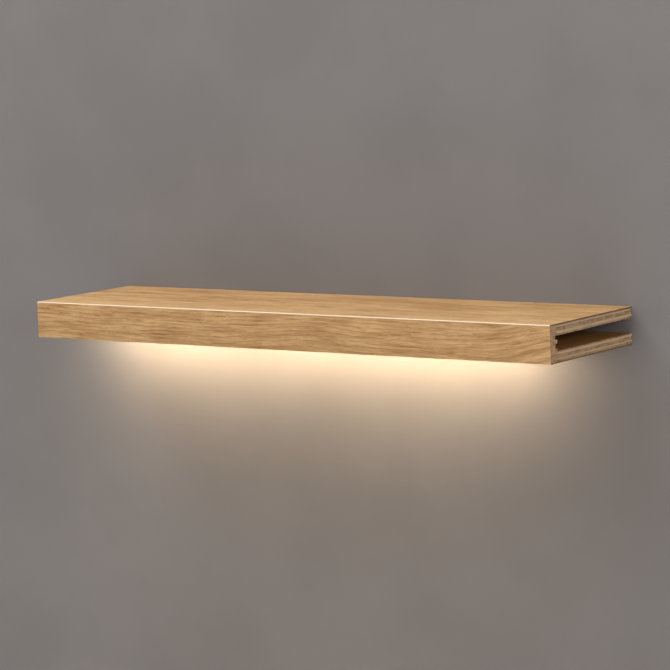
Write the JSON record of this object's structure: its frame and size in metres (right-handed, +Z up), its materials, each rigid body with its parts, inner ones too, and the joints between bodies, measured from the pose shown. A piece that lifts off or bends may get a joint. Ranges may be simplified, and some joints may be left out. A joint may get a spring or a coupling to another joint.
{
  "type": "alcove shelf",
  "caption": "Hollow oak-faced floating shelf that slides over a wall batten with arms, with a recessed warm light channel along its underside.",
  "frame": {"origin": "centre of the wall batten's back face, on the wall, at half the shelf's height", "axes": "+X along the shelf's length to the right as seen from the room, +Y into the wall, +Z up"},
  "size_m": [1, 0.25, 0.0611],
  "materials": {
    "oak_face": "oiled oak veneer, satin, grain along the length",
    "plywood": "five-ply board, raw sawn ends",
    "solid_oak": "raw sawn end, planed profile",
    "beech": "raw, smooth",
    "pine": "planed softwood",
    "zinc_steel": "yellow-zinc plated",
    "spring_steel": "bright sheet",
    "aluminium": "satin anodised",
    "opal_plastic": "opal diffuser, lit warm white",
    "light_strip": "white circuit strip with light chips",
    "white_plastic": "moulded",
    "grey_plastic": "moulded, fine matt",
    "black_plastic": "moulded",
    "black_rubber": "soft, matt",
    "red_insulation": "smooth wire insulation"
  },
  "bodies": {
    "root": {"top_board": "plywood", "bottom_board": "plywood", "front_board": "solid_oak", "top_veneer": "oak_face", "front_veneer": "oak_face", "bottom_veneer": "oak_face", "top_dowel_1": "beech", "top_dowel_2": "beech", "top_dowel_3": "beech", "top_dowel_4": "beech", "top_dowel_5": "beech", "bottom_dowel_1": "beech", "bottom_dowel_2": "beech", "bottom_dowel_3": "beech", "bottom_dowel_4": "beech", "bottom_dowel_5": "beech", "wall_batten": "pine", "support_arm_1": "pine", "support_arm_2": "pine", "support_arm_3": "pine", "support_arm_4": "pine", "arm_screw_1": "zinc_steel", "arm_screw_2": "zinc_steel", "arm_screw_3": "zinc_steel", "arm_screw_4": "zinc_steel", "sleeve_screw_1": "zinc_steel", "sleeve_screw_2": "zinc_steel", "sleeve_screw_3": "zinc_steel", "sleeve_screw_4": "zinc_steel", "led_channel": "aluminium", "led_diffuser": "opal_plastic", "led_strip": "light_strip", "strip_connector": "white_plastic", "channel_end_cap_left": "grey_plastic", "channel_end_cap_right": "grey_plastic", "channel_clip_1": "spring_steel", "channel_clip_2": "spring_steel", "channel_clip_3": "spring_steel", "channel_clip_4": "spring_steel", "clip_screw_1": "zinc_steel", "clip_screw_2": "zinc_steel", "clip_screw_3": "zinc_steel", "clip_screw_4": "zinc_steel", "led_wire_positive": "red_insulation", "led_wire_negative": "black_plastic", "lead_grommet": "black_rubber", "power_socket": "black_plastic", "socket_saddle": "spring_steel", "saddle_screw_1": "zinc_steel", "saddle_screw_2": "zinc_steel"}
  },
  "joints": []
}
